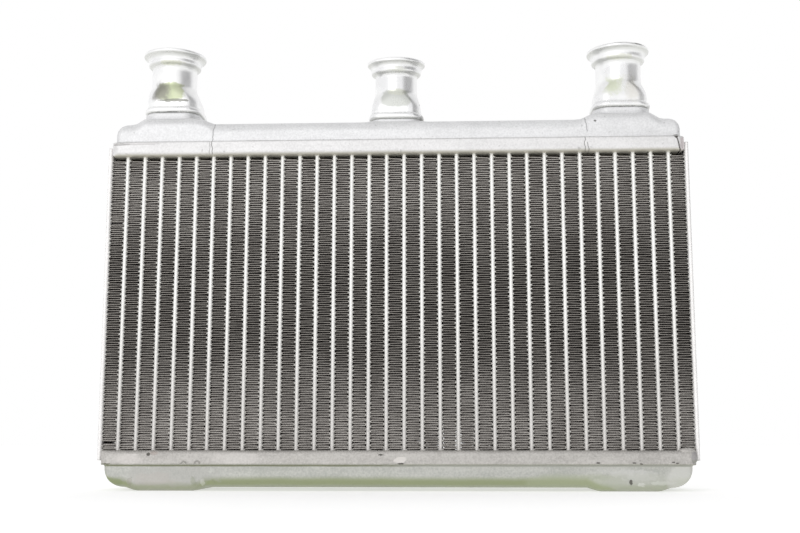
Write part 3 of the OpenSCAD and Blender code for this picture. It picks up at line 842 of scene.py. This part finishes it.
def plan_ring(corner, side, front):
    """A row's points rightward and backward: a square with round corners, or a circle."""
    cosine = np.maximum(np.abs(np.cos(TURN)), 0.001)
    sine = np.maximum(np.abs(np.sin(TURN)), 0.001)
    radius = (corner ** -PLAN_POWER + (side / cosine) ** -PLAN_POWER
              + (front / sine) ** -PLAN_POWER) ** (-1 / PLAN_POWER)
    return radius * np.cos(TURN), radius * np.sin(TURN)


def make_collar(name, face):
    """The upright wall of a tank's drawn collar, just under a stub's bead."""
    middle, neck = STUB_SIZES[name][:2]
    side, front, rise, reach = STUB_COLLARS[name]
    rows = [(neck + 0.1, neck + FREE, neck + FREE, 0.0)]
    rows += [(side + FOOT[0] - FOOT[1] + out, side + out, front + out, drop) for out, drop in COLLAR_WALL]
    rings = []
    for corner, to_side, to_front, drop in rows:
        right, back = plan_ring(corner, to_side, to_front)
        height = np.full(len(TURN), TANK_RISE + rise - drop)
        rings.append(np.stack([middle + right, STUB_Y + back, height], -1))
    faces = grid_quads(len(rings), len(TURN), wrap=True)
    place_piece(f"{name}_collar", np.concatenate(rings), faces, face, 1, UPPER_TANK)


def make_stub(name, face):
    middle, neck, lip, length, reach = STUB_SIZES[name]
    shift, lift, rise_right, rise_back = STUB_LEAN[name]
    seat = face + (TANK_RISE + STUB_COLLARS[name][2]) * MM
    rings = []
    for z, corner, side, front in stub_rows(neck, lip, length, reach):
        right, back = plan_ring(corner, side, front)
        lean = ease(z, FOOT_TOP - 1, FLARE_TOP)
        height = z + lean * (lift + rise_right * right + rise_back * back)
        rings.append(np.stack([middle + lean * shift + right, STUB_Y + back, height], -1))
    faces = grid_quads(len(rings), len(TURN), wrap=True)[:, ::-1]
    place_piece(f"drawn_{name}", np.concatenate(rings), faces, seat, 1, STUB, name)


# Metal squeezed out at the ends of the lower header: middle, half sizes and how square, millimetres
HEADER_LUMPS = {"crimped_header_end": ((114.4, -20.25, 13.3), (3.1, 1.7, 2.9), 0.8),
                "lifted_header_edge": ((113.6, -20.4, 15.3), (3.3, 1.45, 1.7), 1.0),
                "curled_header_rim": ((-113.2, -21.1, 11.3), (2.6, 0.85, 0.75), 0.9)}
LUMP_STEPS = (17, 28)
LUMP_ERROR = 0.03


def make_header_lumps():
    for name, (middle, half, square) in HEADER_LUMPS.items():
        tilt = np.linspace(-math.pi / 2, math.pi / 2, LUMP_STEPS[0])
        turn = np.linspace(0, 2 * math.pi, LUMP_STEPS[1], endpoint=False)
        tilt, turn = np.meshgrid(tilt, turn, indexing="ij")
        faces = grid_quads(*LUMP_STEPS, wrap=True)[:, ::-1]
        sphere = np.stack([np.cos(tilt) * np.cos(turn), np.cos(tilt) * np.sin(turn), np.sin(tilt)], -1)
        points = (middle + half * np.sign(sphere) * np.abs(sphere) ** square).reshape(-1, 3)
        points += RANDOM.normal(0, LUMP_ERROR, points.shape)
        place_piece(name, points, faces, 0, 1, LOWER_HEADER)


def make_tanks_and_stubs():
    top_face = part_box("top_header")[0].z
    bottom_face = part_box("bottom_header")[1].z
    collars = [(STUB_SIZES[name][0], STUB_COLLARS[name]) for name in STUBS]
    bores = [(LEFT_STUB_X, OUTER_BORE), (MIDDLE_STUB_X, MIDDLE_BORE), (RIGHT_STUB_X, OUTER_BORE)]
    upper = make_tank("top_tank", top_face, 1, collars, bores, UPPER_TANK)
    lower = make_tank("bottom_tank", bottom_face, -1, [], [], LOWER_TANK)
    make_seam("upper_rim_seam", upper, top_face, 1, UPPER_SEAM)
    make_seam("lower_rim_seam", lower, bottom_face, -1, LOWER_SEAM)
    for name in STUBS:
        make_stub(name, top_face)
        make_collar(name, top_face)


def finish_nodes():
    for name, material in NODE_MATERIALS.items():
        mesh = NODES[name].data
        mesh.materials.clear()
        mesh.materials.append(material)


# Studio

def make_camera():
    data = bpy.data.cameras.new("camera")
    data.sensor_width = SENSOR
    data.lens = SENSOR * FOCAL_PIXELS / IMAGE_WIDTH
    camera = add_object("camera", data)
    camera.location = CAMERA_PLACE
    camera.rotation_euler = (math.pi / 2 + CAMERA_PITCH, 0, -CAMERA_YAW)
    bpy.context.scene.camera = camera


def make_floor():
    mesh = bpy.data.meshes.new("floor")
    corners = [(FLOOR_REACH * x, FLOOR_REACH * y, 0) for x, y in ((-1, -1), (1, -1), (1, 1), (-1, 1))]
    mesh.from_pydata(corners, [], [(0, 1, 2, 3)])
    paper = Finish("floor_paper", 0.0, 0.9)
    paper.colour(paper.mix(paper.noise(30 * MM), rgb(212, 212, 212), rgb(220, 220, 220)))
    paper.shader.inputs["Emission Color"].default_value = WHITE
    paper.shader.inputs["Emission Strength"].default_value = FLOOR_GLOW
    mesh.materials.append(paper.material)
    floor = add_object("floor", mesh)


def area_light(name, place, aim, size, power):
    data = bpy.data.lights.new(name, "AREA")
    data.shape = "SQUARE"
    data.size = size
    data.energy = power
    lamp = add_object(name, data)
    lamp.location = place
    lamp.rotation_euler = (Vector(place) - Vector(aim)).to_track_quat("Z", "Y").to_euler()


def make_world():
    """The room that the metal mirrors, with its grey wall at the right, and a white ground behind it all."""
    world = bpy.data.worlds.new("studio")
    world.use_nodes = True
    nodes = Nodes(world.node_tree)
    direction = nodes.node("ShaderNodeTexCoord").outputs["Generated"]
    level = nodes.ramp(nodes.axis(direction, "Z"), 0.0, 1.0, ROOM_LIGHT, CEILING_LIGHT)
    toward = nodes.node("ShaderNodeVectorMath", {0: direction, 1: WALL_DIRECTION}, operation="DOT_PRODUCT")
    steep = nodes.math("POWER", nodes.axis(direction, "Z"), 2.0)
    level_share = nodes.math("SQRT", nodes.math("SUBTRACT", 1.0 + WALL_FADE, steep))
    turned = nodes.math("DIVIDE", toward.outputs["Value"], level_share)
    wall = nodes.ramp(turned, *WALL_EDGE, 1.0, WALL_SHARE)
    seen = nodes.node("ShaderNodeLightPath").outputs["Is Camera Ray"]
    shown = nodes.node("ShaderNodeMix", {0: seen, 2: nodes.math("MULTIPLY", level, wall), 3: 1.0}).outputs[0]
    background = world.node_tree.nodes["Background"]
    nodes.feed(background.inputs["Strength"], shown)
    background.inputs["Color"].default_value = WHITE
    bpy.context.scene.world = world
    bpy.context.scene.view_settings.view_transform = "Standard"


finish_nodes()
contacts, low, high = make_fins()
make_braze_beads(contacts, low.y, high.y)
make_tanks_and_stubs()
make_header_lumps()
make_camera()
make_floor()
make_world()
area_light("key", KEY_PLACE, KEY_AIM, KEY_SIZE, KEY_POWER)
